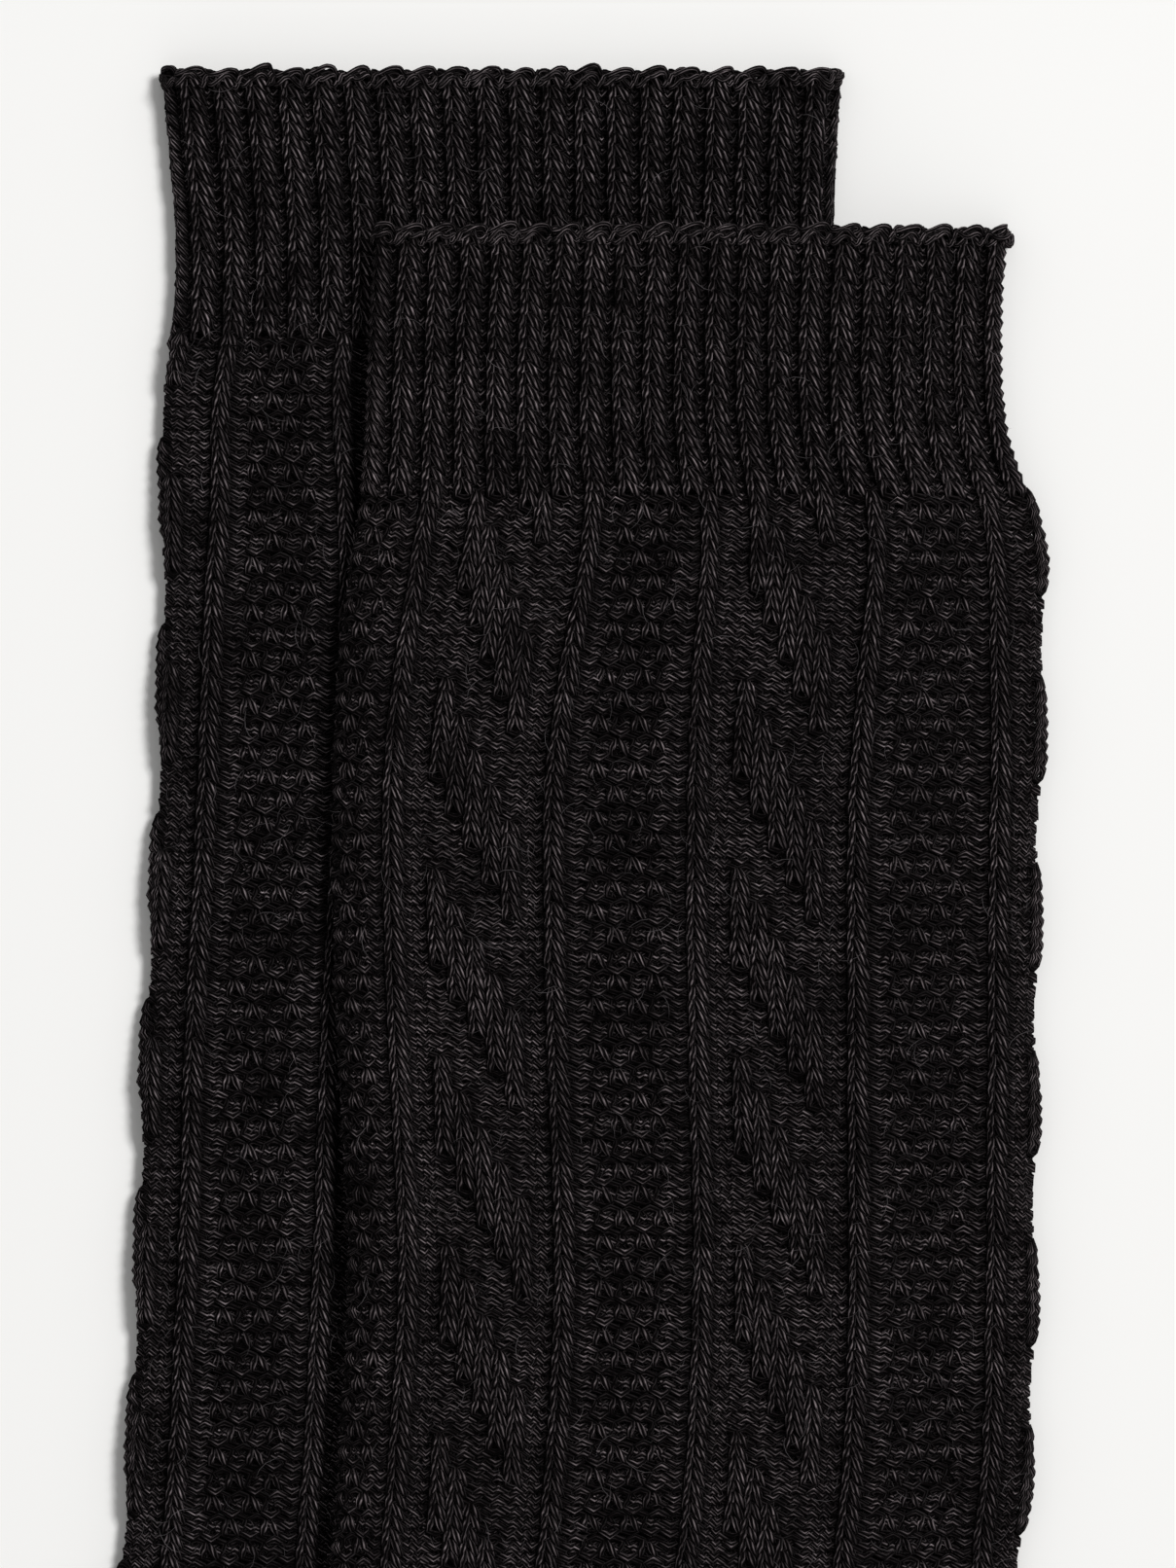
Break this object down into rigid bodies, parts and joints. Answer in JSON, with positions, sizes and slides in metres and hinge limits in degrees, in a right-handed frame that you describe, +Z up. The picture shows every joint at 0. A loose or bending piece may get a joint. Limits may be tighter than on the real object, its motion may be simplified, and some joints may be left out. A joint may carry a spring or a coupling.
{
  "type": "pair of cable knit crew socks",
  "caption": "Mid-calf knitted socks laid flat, one partly over the other, with ribbed cuffs, cable and moss panels, turned heels and rounded toes.",
  "frame": {"origin": "middle of the pair's box in plan, on the surface that the socks lie on", "axes": "+Z up off the surface, +Y up the legs towards the cuffs, -X towards the toes"},
  "size_m": [0.262, 0.3754, 0.0101],
  "materials": {
    "under_yarn": "matte knitted wool blend, near black",
    "over_yarn": "matte knitted wool blend, near black"
  },
  "bodies": {
    "root": {"sock_under": "under_yarn", "sock_over": "over_yarn"}
  },
  "joints": []
}
